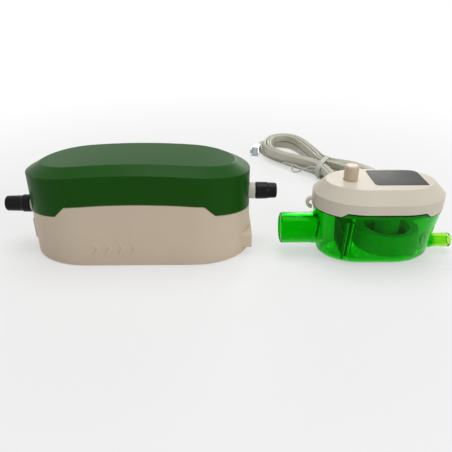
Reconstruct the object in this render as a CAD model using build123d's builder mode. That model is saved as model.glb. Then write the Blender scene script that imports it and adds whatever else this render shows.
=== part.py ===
"""Two-piece condensate pump for a small air conditioner, all sizes in millimetres.

The pump unit is an oval two-shell casing round an oscillating-piston solenoid pump.
Beside it stands the detection unit: a clear cup with hose spigots and a float, closed
by a lid that carries the float sensor and its flat lead, which is wound into a hank.

Frame: origin at the centre of the pump unit's base, +X towards its outlet, +Z up,
front towards -Y.
"""

import os
from math import pi, radians, sqrt, tan

from build123d import *

# ---------------------------------------------------------------- pump unit, driving sizes
body_length = 118.0
body_depth = 50.0
body_end_reach = 31.0          # length of each half-ellipse end along X
crown_rise = 4.7               # how far every long edge bows up in the middle
side_height = 50.8             # top of the upright side at mid length
top_height = 54.0              # top face at mid length
bevel_width = 7.8
base_edge_radius = 1.4
parting_high = 35.6            # parting line at mid length
parting_low = 30.55            # the same line past its steps, carried back to mid length
step_start = 35.1
step_end = 40.7

cover_wall = 1.9
casing_wall = 2.8
base_thickness = 2.6
lip_height = 1.6
lip_gap = 0.1
seam_depth = 0.5
seam_height = 0.35

inlet_height = 25.5            # axis of the inlet barb and of the whole pump
outlet_height = 32.5
neck_radius = 4.4
barb_radius = 3.3
barb_root_radius = 2.7
barb_bore_radius = 1.8
barb_count = 3
neck_end = 61.9
barb_end = 72.6
port_radius = 5.4
slip_gap = 0.05                # radial clearance of pushed-together parts
cap_gap = 0.08
cap_length = 11.5
cap_start = 62.2
cap_grip = 6.4                 # wider sleeve of the outlet cap, up to its tapered tip
cap_root_radius = 4.65
cap_tip_radius = 4.1
inlet_cap_start = 60.2
inlet_cap_length = 13.7
inlet_cap_root = 4.8
inlet_cap_tip = 4.1

# ---------------------------------------------------------------- detection unit, driving sizes
tank_x = 126.1                 # centre of the cup in the pump's frame
tank_y = -9.9
tank_length = 68.6
tank_depth = 41.6
tank_end_reach = 26.5
tank_wall = 1.8
tank_floor = 2.0
tank_draft_inset = 4.6         # how much smaller the cup is all round at its base
tank_base_radius = 5.6
tank_seam_high = 31.8
tank_seam_low = 29.35
tank_step_start = 19.5
tank_step_end = 22.5
seal_height = 0.55
seal_gap = 0.25
lid_side_height = 36.7
lid_top_height = 42.7
lid_bevel_width = 6.0
lid_wall = 1.8
tongue_inset = 2.6
tongue_wall = 1.2
tongue_bottom = 28.4

tank_inlet_radius = 8.4
tank_inlet_bore = 6.6
tank_inlet_height = 14.8
tank_inlet_tip = 75.2
tank_outlet_radius = 3.85
tank_outlet_bore = 2.35
tank_outlet_height = 6.6
tank_outlet_tip = 169.2
tank_tip_round = 1.4
hose_stop_rise = 0.3
inlet_stop_x = 92.5
outlet_stop_x = 158.6

float_x = 133.5
float_length = 34.0
float_depth = 29.0
float_bottom = 4.1
float_top = 16.6
float_bore_radius = 7.6
column_radius = 6.3
column_bottom = 4.6

vent_x = 110.8
vent_y = -9.6
vent_radius = 2.4
vent_cap_radius = 3.65
vent_cap_top = 50.4

# ---------------------------------------------------------------- sensor lead, driving sizes
lead_width = 5.4               # flat lead; its solid is a round tube of this width
lead_exit_x = 139.5
lead_exit_height = 34.2
hank_bottom = 0.6
hank_top = 10.6
hank_loop = (88.0, 156.0, 17.0)        # open loop: centre x, centre y, radius
hank_waist = (120.0, 106.0, 7.0)       # where the tie pulls the turns together
hank_tail = (134.0, 82.0, 10.0)

# ---------------------------------------------------------------- worked-out sizes
crown_radius = ((body_length / 2) ** 2 + crown_rise**2) / (2 * crown_rise)
overrun = 6.0                  # how far cutting tools run past what they cut
tank_seam_gap = seal_height + seal_gap
lid_rear = tank_y + tank_depth / 2


def crown_drop(x):
    """How far the crown has fallen below its middle at x."""
    return crown_radius - sqrt(crown_radius**2 - x**2)


def oval_outline(length, depth, end_reach, centre=(0.0, 0.0)):
    """Draw an outline with straight front and rear and half-ellipse ends."""
    cx, cy = centre
    straight = length / 2 - end_reach
    half = depth / 2
    Line((cx - straight, cy - half), (cx + straight, cy - half))
    EllipticalCenterArc((cx + straight, cy), end_reach, half, start_angle=-90, arc_size=180)
    Line((cx + straight, cy + half), (cx - straight, cy + half))
    EllipticalCenterArc((cx - straight, cy), end_reach, half, start_angle=90, arc_size=180)


def body_outline(inset=0.0):
    """Draw the pump unit's plan, drawn in by inset all round."""
    oval_outline(body_length - 2 * inset, body_depth - 2 * inset, body_end_reach - inset)


def tank_outline(inset=0.0):
    """Draw the detection unit's plan, drawn in by inset all round."""
    oval_outline(
        tank_length - 2 * inset, tank_depth - 2 * inset, tank_end_reach - inset, (tank_x, tank_y)
    )


def prism(outline, inset, bottom, top):
    """Solid upright prism of one of the plans above."""
    with BuildPart() as block:
        with BuildSketch(Plane.XY.offset(bottom)):
            with BuildLine():
                outline(inset)
            make_face()
        extrude(amount=top - bottom)
    return block.part


def crowned_block(inset, side, top):
    """Closed form of the pump unit: an oval prism with a crowned, bevelled top."""
    reach = body_length / 2 + overrun
    end_height = top - crown_drop(reach)
    with BuildPart() as block:
        add(prism(body_outline, inset, 0, top + overrun))
        with BuildSketch(Plane.XZ):
            with BuildLine():
                Line((-reach, -1), (reach, -1))
                Line((reach, -1), (reach, end_height))
                ThreePointArc((reach, end_height), (0, top), (-reach, end_height))
                Line((-reach, end_height), (-reach, -1))
            make_face()
        extrude(amount=body_depth, both=True, mode=Mode.INTERSECT)
        crown = block.faces().filter_by(GeomType.CYLINDER)[0]
        chamfer(crown.edges(), length=bevel_width, length2=top - side, reference=crown)
    return block.part


def below_parting(lift):
    """Everything below the pump unit's stepped parting line, moved up by lift."""
    reach = body_length / 2 + overrun
    middle = parting_high + lift
    outer = parting_low + lift

    def on_outer(x):
        return (x, outer - crown_drop(x))

    def on_inner(x):
        return (x, middle - crown_drop(x))

    half_way = (reach + step_end) / 2
    with BuildPart() as region:
        with BuildSketch(Plane.XZ):
            with BuildLine():
                ThreePointArc(on_outer(-reach), on_outer(-half_way), on_outer(-step_end))
                Line(on_outer(-step_end), on_inner(-step_start))
                ThreePointArc(on_inner(-step_start), on_inner(0), on_inner(step_start))
                Line(on_inner(step_start), on_outer(step_end))
                ThreePointArc(on_outer(step_end), on_outer(half_way), on_outer(reach))
                Line(on_outer(reach), (reach, -overrun))
                Line((reach, -overrun), (-reach, -overrun))
                Line((-reach, -overrun), on_outer(-reach))
            make_face()
        extrude(amount=body_depth, both=True)
    return region.part


def below_tank_seam(lift):
    """Everything below the line where the cup meets the lid, moved up by lift."""
    reach = tank_length / 2 + overrun
    high = tank_seam_high + lift
    low = tank_seam_low + lift
    with BuildPart() as region:
        with BuildSketch(Plane.XZ.offset(-tank_y)):
            with BuildLine():
                Polyline(
                    (tank_x - reach, low), (tank_x - tank_step_end, low),
                    (tank_x - tank_step_start, high), (tank_x + tank_step_start, high),
                    (tank_x + tank_step_end, low), (tank_x + reach, low),
                    (tank_x + reach, -overrun), (tank_x - reach, -overrun), close=True,
                )
            make_face()
        extrude(amount=tank_depth, both=True)
    return region.part


def rod_x(radius, start, end, height, y=0.0):
    """Round rod along X."""
    with BuildPart() as rod:
        with BuildSketch(Plane.YZ.offset(start)):
            with Locations((y, height)):
                Circle(radius)
        extrude(amount=end - start)
    return rod.part


def block_at(low, high):
    """Plain block between two corners."""
    with BuildPart() as block:
        with Locations(((low[0] + high[0]) / 2, (low[1] + high[1]) / 2, (low[2] + high[2]) / 2)):
            Box(high[0] - low[0], high[1] - low[1], high[2] - low[2])
    return block.part


def turned_x(profile, height):
    """Solid of revolution about the X line at a height; profile is (x, radius) points."""
    with BuildPart() as turned:
        with BuildSketch(Plane.XZ):
            with BuildLine():
                Polyline(*[(x, height + r) for x, r in profile], close=True)
            make_face()
        revolve(axis=Axis((0, 0, height), (1, 0, 0)))
    return turned.part


def barb_profile(tip, root, side):
    """Half-section of a barbed stub from its tip back to its root, as (x, radius) points."""
    pitch = (tip - root) / barb_count
    points = [(side * tip, barb_bore_radius), (side * tip, barb_root_radius)]
    for k in range(barb_count):
        crest = tip - (k + 1) * pitch + pitch / 4
        points.append((side * crest, barb_radius))
        points.append((side * crest, barb_root_radius))
    points.append((side * root, barb_root_radius))
    return points


def coil_spring(mean_radius, wire_radius, start, length, turns, height):
    """Helical wire along X from start, centred at a height."""
    with BuildPart() as spring:
        with BuildLine():
            path = Helix(
                length / turns, length, mean_radius, center=(start, 0, height), direction=(1, 0, 0)
            )
        with BuildSketch(Plane(path @ 0, z_dir=path % 0)):
            Circle(wire_radius)
        sweep(path=path, is_frenet=True)
    return spring.part


os.makedirs("parts", exist_ok=True)

# ================================================================ pump unit: the two shells
screw_x = 41.0
screw_y = 14.5
screw_places = [(sx * screw_x, sy * screw_y) for sx in (-1, 1) for sy in (-1, 1)]
post_radius = 3.5
post_top = 26.0                # casing posts meet cover posts at this height
well_radius = 2.8
well_depth = 18.0
screw_hole_radius = 1.6
pilot_radius = 1.2
cover_post_radius = 3.2

socket_low = (-45.5, -4.5, 6.2)        # mains socket in the left end
socket_high = (-59.8, 12.5, 18.3)
boss_half_width = 14.0                 # flat block on the right end
boss_bottom = 4.3
boss_top = 12.8
boss_face = 60.0
jack_low = (45.0, -5.2, 3.6)           # sensor jack behind a window in that block
jack_high = (55.2, 5.2, 13.6)
jack_mouth = (7.8, 6.6)
jack_mid_z = (boss_bottom + boss_top) / 2
window_gap = 0.1

board_y = 17.2                 # front face of the upright circuit board
board_thickness = 1.6
board_half_length = 33.0
board_bottom = 4.2
board_top = 33.5
guide_width = 2.0
guide_top = 24.0

casing_lip = prism(body_outline, cover_wall + lip_gap, base_thickness, top_height)
casing_lip = casing_lip & below_parting(lip_height)
seam_band = prism(body_outline, -2.5, 0, top_height) - prism(body_outline, seam_depth, 0, top_height)
seam_band = (seam_band & below_parting(0)) - below_parting(-seam_height)

with BuildPart() as pump_base_casing:
    add(prism(body_outline, 0, 0, top_height))
    add(below_parting(0), mode=Mode.INTERSECT)
    fillet(pump_base_casing.edges().group_by(Axis.Z)[0], base_edge_radius)
    add(seam_band, mode=Mode.SUBTRACT)
    with BuildSketch(Plane.YZ.offset(boss_face)):
        with Locations((0, (boss_bottom + boss_top) / 2)):
            RectangleRounded(2 * boss_half_width, boss_top - boss_bottom, 1.5)
    extrude(amount=-10)
    add(casing_lip)
    with BuildSketch(Plane.XY.offset(base_thickness)):
        with BuildLine():
            body_outline(casing_wall)
        make_face()
    extrude(amount=top_height, mode=Mode.SUBTRACT)
    with BuildSketch(Plane.XY.offset(base_thickness)):
        with Locations(*screw_places):
            Circle(post_radius)
    extrude(amount=post_top - base_thickness)
    with BuildSketch(Plane.XY):
        with Locations(*screw_places):
            Circle(well_radius)
    extrude(amount=well_depth, mode=Mode.SUBTRACT)
    with BuildSketch(Plane.XY):
        with Locations(*screw_places):
            Circle(screw_hole_radius)
    extrude(amount=post_top, mode=Mode.SUBTRACT)
    with BuildSketch(Plane.XY.offset(base_thickness)):
        for side in (-1, 1):
            with Locations((side * (board_half_length + guide_width / 2 - 0.8), board_y + 0.8)):
                Rectangle(guide_width, 5.6)
    extrude(amount=guide_top - base_thickness)
    add(
        block_at(
            (-board_half_length - 0.1, board_y - 0.1, base_thickness),
            (board_half_length + 0.1, board_y + board_thickness + 0.1, top_height),
        ),
        mode=Mode.SUBTRACT,
    )
    add(rod_x(port_radius, -body_length / 2 - 1, -50, inlet_height), mode=Mode.SUBTRACT)
    add(rod_x(port_radius, 50, body_length / 2 + 1, outlet_height), mode=Mode.SUBTRACT)
    add(
        block_at(
            (-body_length / 2 - 1, socket_low[1] - 0.1, socket_low[2] - 0.1),
            (socket_low[0], socket_high[1] + 0.1, socket_high[2] + 0.1),
        ),
        mode=Mode.SUBTRACT,
    )
    add(
        block_at(
            (jack_low[0], jack_low[1] - 0.1, jack_low[2] - 0.1),
            (jack_high[0] + 0.1, jack_high[1] + 0.1, jack_high[2] + 0.1),
        ),
        mode=Mode.SUBTRACT,
    )
    with BuildSketch(Plane.YZ.offset(boss_face + 1)):
        with Locations((0, jack_mid_z)):
            Rectangle(jack_mouth[0] + 2 * window_gap, jack_mouth[1] + 2 * window_gap)
    extrude(amount=jack_low[0] - boss_face, mode=Mode.SUBTRACT)
pump_base_casing.part.label = "pump_base_casing"

yoke_half_height = 15.0
hold_down_gap = 0.3
hold_down_x = (-10.0, 6.0)
cover_outer = crowned_block(0, side_height, top_height)
cover_inner = crowned_block(cover_wall, side_height - cover_wall, top_height - cover_wall)

with BuildPart() as cover_posts:
    with BuildSketch(Plane.XY.offset(post_top)):
        with Locations(*screw_places):
            Circle(cover_post_radius)
            Circle(pilot_radius, mode=Mode.SUBTRACT)
    extrude(amount=top_height - post_top)
    with BuildSketch(Plane.XY.offset(inlet_height + yoke_half_height + hold_down_gap)):
        for x in hold_down_x:
            with Locations((x, 0)):
                Rectangle(1.6, 30)
    extrude(amount=top_height - inlet_height - yoke_half_height)
    add(crowned_block(cover_wall / 2, side_height - 1, top_height - 1), mode=Mode.INTERSECT)

with BuildPart() as pump_top_cover:
    add(cover_outer)
    rim = pump_top_cover.faces().filter_by(GeomType.CYLINDER)[0]
    fillet(rim.edges(), 1.5)
    add(cover_inner, mode=Mode.SUBTRACT)
    add(below_parting(0), mode=Mode.SUBTRACT)
    add(cover_posts.part)
    add(rod_x(port_radius, -body_length / 2 - 1, -50, inlet_height), mode=Mode.SUBTRACT)
    add(rod_x(port_radius, 50, body_length / 2 + 1, outlet_height), mode=Mode.SUBTRACT)
pump_top_cover.part.label = "pump_top_cover"

screw_head_radius = 2.55
screw_head_height = 1.9
screw_length = 15.0
with BuildPart() as cover_screws:
    with BuildSketch(Plane.XY.offset(well_depth - screw_head_height)):
        with Locations(*screw_places):
            Circle(screw_head_radius)
    extrude(amount=screw_head_height)
    with BuildSketch(Plane.XY.offset(well_depth)):
        with Locations(*screw_places):
            Circle(pilot_radius - slip_gap)
    extrude(amount=screw_length)
cover_screws.part.label = "cover_screws"

# ================================================================ pump unit: ports and caps
grommet_flange = (53.3, 54.6)
grommet_face = 57.9
grommet_flange_radius = 6.9
flow_chamber = (30.0, 44.0)    # discharge chamber between these x
nozzle_tip = 34.0
nozzle_radius = 3.45
hub_radius = 8.0

outlet_profile = (
    [(flow_chamber[1] - 1, barb_bore_radius)]
    + barb_profile(barb_end, neck_end, 1)
    + [(neck_end, neck_radius), (flow_chamber[1] - 1, neck_radius)]
)
outlet_stub = turned_x(outlet_profile, outlet_height)
chamber_middle = (inlet_height + outlet_height) / 2
with BuildPart() as outlet_chamber:
    with BuildSketch(Plane.YZ.offset(flow_chamber[0])):
        with Locations((0, chamber_middle)):
            SlotCenterToCenter(outlet_height - inlet_height, 15.4, rotation=90)
    extrude(amount=flow_chamber[1] - flow_chamber[0])
    fillet(outlet_chamber.faces().sort_by(Axis.X)[-1].edges(), 1.6)
    with BuildSketch(Plane.YZ.offset(flow_chamber[0] + 1.8)):
        with Locations((0, chamber_middle)):
            SlotCenterToCenter(outlet_height - inlet_height, 11.4, rotation=90)
    extrude(amount=flow_chamber[1] - flow_chamber[0] - 3.6, mode=Mode.SUBTRACT)
    add(outlet_stub)
    add(rod_x(barb_bore_radius, flow_chamber[1] - 3, flow_chamber[1] + 1, outlet_height),
        mode=Mode.SUBTRACT)
    add(rod_x(nozzle_radius + slip_gap, flow_chamber[0] - 1, flow_chamber[0] + 2, inlet_height),
        mode=Mode.SUBTRACT)
outlet_chamber.part.label = "outlet_chamber"

tube_start = -31.5
tube_end = 21.5
tube_radius = 5.6
tube_bore = 5.0
hub_end = -22.2
inlet_profile = (
    barb_profile(barb_end, inlet_cap_start - 0.3, -1)
    + [
        (-inlet_cap_start + 0.3, neck_radius), (-38, neck_radius), (-36, hub_radius),
        (hub_end, hub_radius), (hub_end, tube_radius + slip_gap),
        (tube_start, tube_radius + slip_gap), (tube_start, barb_bore_radius),
    ]
)
with BuildPart() as inlet_fitting:
    add(turned_x(inlet_profile, inlet_height))
inlet_fitting.part.label = "inlet_fitting"


def grommet(side, height):
    """Soft ring that holds a port in the casing end; side is -1 left or 1 right."""
    profile = [
        (side * grommet_flange[0], neck_radius + slip_gap),
        (side * grommet_face, neck_radius + slip_gap),
        (side * grommet_face, port_radius - slip_gap),
        (side * grommet_flange[1], port_radius - slip_gap),
        (side * grommet_flange[1], grommet_flange_radius),
        (side * grommet_flange[0], grommet_flange_radius),
    ]
    return turned_x(profile, height)


with BuildPart() as inlet_grommet:
    add(grommet(-1, inlet_height))
inlet_grommet.part.label = "inlet_grommet"

with BuildPart() as outlet_grommet:
    add(grommet(1, outlet_height))
outlet_grommet.part.label = "outlet_grommet"

cap_bore = barb_radius + cap_gap
outlet_cap_end = cap_start + cap_length
with BuildPart() as outlet_cap:
    add(turned_x(
        [(cap_start, 0), (cap_start, cap_root_radius - 0.2), (cap_start + 0.4, cap_root_radius),
         (cap_start + cap_grip, cap_root_radius - 0.1), (cap_start + cap_grip + 0.6, cap_tip_radius + 0.2),
         (outlet_cap_end, cap_tip_radius), (outlet_cap_end, 0)], outlet_height))
    fillet(outlet_cap.edges().group_by(Axis.X)[-1], 1.0)
    add(rod_x(cap_bore, cap_start - 1, outlet_cap_end - 0.8, outlet_height), mode=Mode.SUBTRACT)
outlet_cap.part.label = "outlet_cap"

inlet_cap_end = -inlet_cap_start - inlet_cap_length
with BuildPart() as inlet_cap:
    add(turned_x(
        [(-inlet_cap_start, 0), (-inlet_cap_start, inlet_cap_root),
         (-inlet_cap_start - 4, inlet_cap_root), (-inlet_cap_start - 5, inlet_cap_tip + 0.25),
         (inlet_cap_end, inlet_cap_tip), (inlet_cap_end, 0)], inlet_height))
    fillet(inlet_cap.edges().group_by(Axis.X)[0], 1.0)
    add(rod_x(cap_bore, inlet_cap_end + 0.9, -inlet_cap_start + 1, inlet_height),
        mode=Mode.SUBTRACT)
inlet_cap.part.label = "inlet_cap"

# ================================================================ pump unit: the piston pump
yoke_plate = 2.2
bobbin_start = -20.0
bobbin_end = 16.0
bobbin_flange = 1.6
bobbin_radius = 12.6
bobbin_hub = 6.8
coil_radius = 12.1
yoke_half_depth = 13.0

with BuildPart() as piston_tube:
    add(turned_x([(tube_start, tube_bore), (tube_end, tube_bore), (tube_end, tube_radius),
                  (tube_start, tube_radius)], inlet_height))
piston_tube.part.label = "piston_tube"

with BuildPart() as solenoid_bobbin:
    add(turned_x(
        [(bobbin_start, tube_radius + slip_gap), (bobbin_start, bobbin_radius),
         (bobbin_start + bobbin_flange, bobbin_radius), (bobbin_start + bobbin_flange, bobbin_hub),
         (bobbin_end - bobbin_flange, bobbin_hub), (bobbin_end - bobbin_flange, bobbin_radius),
         (bobbin_end, bobbin_radius), (bobbin_end, tube_radius + slip_gap)], inlet_height))
solenoid_bobbin.part.label = "solenoid_bobbin"

with BuildPart() as solenoid_coil:
    coil_ends = (bobbin_start + bobbin_flange + slip_gap, bobbin_end - bobbin_flange - slip_gap)
    add(turned_x([(coil_ends[0], bobbin_hub + slip_gap), (coil_ends[1], bobbin_hub + slip_gap),
                  (coil_ends[1], coil_radius), (coil_ends[0], coil_radius)], inlet_height))
solenoid_coil.part.label = "solenoid_coil"

yoke_ends = (bobbin_start - yoke_plate, bobbin_end + yoke_plate)
with BuildPart() as solenoid_yoke:
    add(block_at((yoke_ends[0], -yoke_half_depth, inlet_height - yoke_half_height),
                 (yoke_ends[1], yoke_half_depth, inlet_height + yoke_half_height)))
    fillet(solenoid_yoke.edges().filter_by(Axis.Y), 2.0)
    add(block_at((bobbin_start, -body_depth, inlet_height - yoke_half_height + yoke_plate),
                 (bobbin_end, body_depth, inlet_height + yoke_half_height - yoke_plate)),
        mode=Mode.SUBTRACT)
    add(rod_x(tube_radius + slip_gap, yoke_ends[0] - 1, yoke_ends[1] + 1, inlet_height),
        mode=Mode.SUBTRACT)
solenoid_yoke.part.label = "solenoid_yoke"

head_end = 28.0
seat_x = 22.8
seat_bore = 2.2
valve_bore = 3.9
valve_end = 27.0
with BuildPart() as valve_head:
    add(turned_x(
        [(yoke_ends[1], tube_radius + slip_gap), (yoke_ends[1], 9.0), (yoke_ends[1] + 3, 9.0),
         (yoke_ends[1] + 4, hub_radius - 1), (head_end, hub_radius - 1), (head_end, nozzle_radius),
         (nozzle_tip, nozzle_radius), (nozzle_tip, seat_bore), (valve_end, seat_bore),
         (valve_end, valve_bore), (seat_x, valve_bore), (seat_x, seat_bore),
         (tube_end, seat_bore), (tube_end, tube_radius + slip_gap)], inlet_height))
valve_head.part.label = "valve_head"

with BuildPart() as head_seal:
    add(turned_x([(head_end, nozzle_radius + slip_gap), (flow_chamber[0], nozzle_radius + slip_gap),
                  (flow_chamber[0], 5.5), (head_end, 5.5)], inlet_height))
head_seal.part.label = "head_seal"

piston_ends = (-12.0, 14.5)
piston_bore = 1.6
with BuildPart() as piston:
    add(turned_x(
        [(piston_ends[0], piston_bore), (piston_ends[0], tube_bore - slip_gap),
         (piston_ends[1] - 3, tube_bore - slip_gap), (piston_ends[1], 3.4),
         (piston_ends[1], piston_bore)], inlet_height))
piston.part.label = "piston"

with BuildPart() as suction_valve:
    add(turned_x(
        [(piston_ends[1] - 4, 0), (piston_ends[1] - 4, 1.1), (piston_ends[1], 1.1),
         (piston_ends[1], 3.0), (piston_ends[1] + 0.8, 2.6), (piston_ends[1] + 1.4, 0)],
        inlet_height))
suction_valve.part.label = "suction_valve"

spring_wire = 0.45
with BuildPart() as piston_spring:
    add(coil_spring(3.7, spring_wire, tube_start + spring_wire + 0.05,
                    piston_ends[0] - tube_start - 2 * spring_wire - 0.1, 7, inlet_height))
piston_spring.part.label = "piston_spring"

poppet_face = seat_x + slip_gap
with BuildPart() as discharge_poppet:
    add(turned_x([(poppet_face, 0), (poppet_face, 3.2), (poppet_face + 1, 3.2),
                  (poppet_face + 1, 1.0), (poppet_face + 2.0, 1.0), (poppet_face + 2.0, 0)],
                 inlet_height))
discharge_poppet.part.label = "discharge_poppet"

poppet_wire = 0.3
with BuildPart() as poppet_spring:
    add(coil_spring(2.2, poppet_wire, poppet_face + 1 + poppet_wire + 0.05,
                    valve_end - poppet_face - 1 - 2 * poppet_wire - 0.1, 3, inlet_height))
poppet_spring.part.label = "poppet_spring"

pad_length = 9.0
pad_half_depth = 9.0
with BuildPart() as damper_pads:
    with BuildSketch(Plane.XY.offset(base_thickness)):
        for x in hold_down_x:
            with Locations((x, 0)):
                RectangleRounded(pad_length, 2 * pad_half_depth, 1.5)
    extrude(amount=inlet_height - yoke_half_height - base_thickness)
damper_pads.part.label = "damper_pads"

# ================================================================ pump unit: electrics
with BuildPart() as control_board:
    add(block_at((-board_half_length, board_y, board_bottom),
                 (board_half_length, board_y + board_thickness, board_top)))
control_board.part.label = "control_board"

relay_size = (9.0, 7.0, 12.0)
relay_x = -31.8
capacitor_radius = 3.5
with BuildPart() as board_components:
    add(block_at((relay_x, board_y - relay_size[1], 8),
                 (relay_x + relay_size[0], board_y, 8 + relay_size[2])))
    with BuildSketch(Plane.XZ.offset(-board_y)):
        with Locations((-27, 27), (24, 24)):
            Circle(capacitor_radius)
    extrude(amount=7.5)
    add(block_at((21, board_y - 5, 8), (31, board_y, 14)))
    add(block_at((-12, board_y - 2.2, 12), (6, board_y, 20)))
board_components.part.label = "board_components"

socket_mid_y = (socket_low[1] + socket_high[1]) / 2
socket_mid_z = (socket_low[2] + socket_high[2]) / 2
socket_mouth = (13.0, 8.0)
socket_depth = 10.0
with BuildPart() as power_socket:
    with BuildSketch(Plane.YZ.offset(socket_low[0])):
        with Locations((socket_mid_y, socket_mid_z)):
            RectangleRounded(socket_high[1] - socket_low[1], socket_high[2] - socket_low[2], 1.2)
    extrude(amount=socket_high[0] - socket_low[0])
    fillet(power_socket.faces().sort_by(Axis.X)[0].edges(), 0.6)
    with BuildSketch(Plane.YZ.offset(socket_high[0] - 1)):
        with Locations((socket_mid_y, socket_mid_z)):
            RectangleRounded(socket_mouth[0], socket_mouth[1], 1.0)
    extrude(amount=socket_depth + 1, mode=Mode.SUBTRACT)
power_socket.part.label = "power_socket"

pin_size = (8.0, 0.9, 3.6)
pin_spacing = 7.4
pin_root = socket_high[0] + socket_depth
with BuildPart() as socket_pins:
    with Locations(
        *[(pin_root - pin_size[0] / 2, socket_mid_y + k * pin_spacing / 2, socket_mid_z)
          for k in (-1, 1)]
    ):
        Box(*pin_size)
socket_pins.part.label = "socket_pins"

jack_depth = 8.6
with BuildPart() as sensor_jack:
    add(block_at(jack_low, jack_high))
    with BuildSketch(Plane.YZ.offset(jack_high[0] - jack_depth)):
        with Locations((0, jack_mid_z)):
            Rectangle(*jack_mouth)
    extrude(amount=jack_depth + 1, mode=Mode.SUBTRACT)
sensor_jack.part.label = "sensor_jack"

# ================================================================ detection unit: cup
strainer_x = (108.5, 110.0)
rail_thickness = 1.0
rail_reach = 1.6


def tank_form(wall, bottom, top, base_radius):
    """Drafted oval form of the cup, drawn in by wall, with a rounded bottom edge."""

    def inset_at(height):
        return wall + tank_draft_inset * (1 - height / tank_seam_high)

    with BuildPart() as form:
        for height in (bottom, top):
            with BuildSketch(Plane.XY.offset(height)):
                with BuildLine():
                    tank_outline(inset_at(height))
                make_face()
        loft(ruled=True)
        fillet(form.edges().group_by(Axis.Z)[0], base_radius)
    return form.part


tank_inside = tank_form(tank_wall, tank_floor, tank_seam_high + 2, tank_base_radius - tank_wall)
tank_left = tank_x - tank_length / 2
tank_right = tank_x + tank_length / 2

with BuildPart() as strainer_rails:
    with BuildSketch(Plane.XY.offset(tank_floor)):
        for x in (strainer_x[0] - rail_thickness / 2 - 0.1, strainer_x[1] + rail_thickness / 2 + 0.1):
            with Locations((x, tank_y)):
                Rectangle(rail_thickness, tank_depth)
    extrude(amount=26.0 - tank_floor)
    add(tank_form(tank_wall + rail_reach, tank_floor - 3, tank_seam_high + 4, 1.0),
        mode=Mode.SUBTRACT)
    add(tank_form(tank_wall / 2, tank_floor / 2, tank_seam_high, 2.0), mode=Mode.INTERSECT)

with BuildPart() as reservoir_cup:
    add(tank_form(0, 0, tank_seam_high, tank_base_radius))
    add(below_tank_seam(-tank_seam_gap), mode=Mode.INTERSECT)
    add(rod_x(tank_inlet_radius, tank_inlet_tip, tank_left + 8, tank_inlet_height, tank_y))
    add(rod_x(tank_outlet_radius, tank_right - 10, tank_outlet_tip, tank_outlet_height, tank_y))
    fillet(reservoir_cup.edges().group_by(Axis.X)[0], tank_tip_round)
    fillet(reservoir_cup.edges().group_by(Axis.X)[-1], tank_tip_round / 2)
    # Low shoulders at the wall, which a hose butts against.
    add(rod_x(tank_inlet_radius + hose_stop_rise, inlet_stop_x, tank_left + 8,
              tank_inlet_height, tank_y))
    add(rod_x(tank_outlet_radius + hose_stop_rise, tank_right - 10, outlet_stop_x,
              tank_outlet_height, tank_y))
    add(tank_inside, mode=Mode.SUBTRACT)
    add(strainer_rails.part)
    add(rod_x(tank_inlet_bore, tank_inlet_tip - 1, tank_left + 8, tank_inlet_height, tank_y),
        mode=Mode.SUBTRACT)
    add(rod_x(tank_outlet_bore, tank_right - 10, tank_outlet_tip + 1, tank_outlet_height, tank_y),
        mode=Mode.SUBTRACT)
    with BuildSketch(Plane.XY.offset(tank_floor)):
        for k in (-1, 0, 1):
            with Locations((float_x + 13 * k, tank_y)):
                Rectangle(1.4, 20)
    extrude(amount=float_bottom - 0.3 - tank_floor)
reservoir_cup.part.label = "reservoir_cup"

strainer_half_bottom = 11.6
strainer_half_top = 16.6
strainer_bottom = tank_floor + 0.2
strainer_top = 27.0
slot_pitch = 2.5
slot_width = 1.3
with BuildPart() as inlet_strainer:
    with BuildSketch(Plane.YZ.offset(strainer_x[0])):
        with BuildLine():
            Polyline(
                (tank_y - strainer_half_bottom + 2, strainer_bottom),
                (tank_y + strainer_half_bottom - 2, strainer_bottom),
                (tank_y + strainer_half_bottom, strainer_bottom + 2),
                (tank_y + strainer_half_top, strainer_top),
                (tank_y - strainer_half_top, strainer_top),
                (tank_y - strainer_half_bottom, strainer_bottom + 2), close=True,
            )
        make_face()
        with Locations((tank_y, 9.8), (tank_y, 20.2)):
            with GridLocations(slot_pitch, 0, 9, 1):
                Rectangle(slot_width, 8.6, mode=Mode.SUBTRACT)
    extrude(amount=strainer_x[1] - strainer_x[0])
inlet_strainer.part.label = "inlet_strainer"

# ================================================================ detection unit: float
magnet_outer = 11.8
magnet_bottom = 9.0
magnet_height = 3.0
float_base_round = 2.2
float_top_round = 0.8
float_centre = (float_x, tank_y)
with BuildPart() as float_ring:
    with BuildSketch(Plane.XY.offset(float_bottom)):
        with Locations(float_centre):
            Ellipse(float_length / 2, float_depth / 2)
    extrude(amount=magnet_bottom - float_bottom)
    fillet(float_ring.edges().group_by(Axis.Z)[0], float_base_round)
    with BuildSketch(Plane.XY.offset(float_bottom)):
        with Locations(float_centre):
            Circle(float_bore_radius)
    extrude(amount=magnet_bottom - float_bottom, mode=Mode.SUBTRACT)
float_ring.part.label = "float_ring"

with BuildPart() as float_rim:
    with BuildSketch(Plane.XY.offset(magnet_bottom)):
        with Locations(float_centre):
            Ellipse(float_length / 2, float_depth / 2)
    extrude(amount=float_top - magnet_bottom)
    fillet(float_rim.edges().group_by(Axis.Z)[-1], float_top_round)
    with BuildSketch(Plane.XY.offset(magnet_bottom)):
        with Locations(float_centre):
            Circle(magnet_outer + slip_gap)
    extrude(amount=float_top - magnet_bottom, mode=Mode.SUBTRACT)
float_rim.part.label = "float_rim"

with BuildPart() as float_magnet:
    with BuildSketch(Plane.XY.offset(magnet_bottom)):
        with Locations(float_centre):
            Circle(magnet_outer)
            Circle(float_bore_radius + 0.3, mode=Mode.SUBTRACT)
    extrude(amount=magnet_height)
float_magnet.part.label = "float_magnet"

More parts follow.
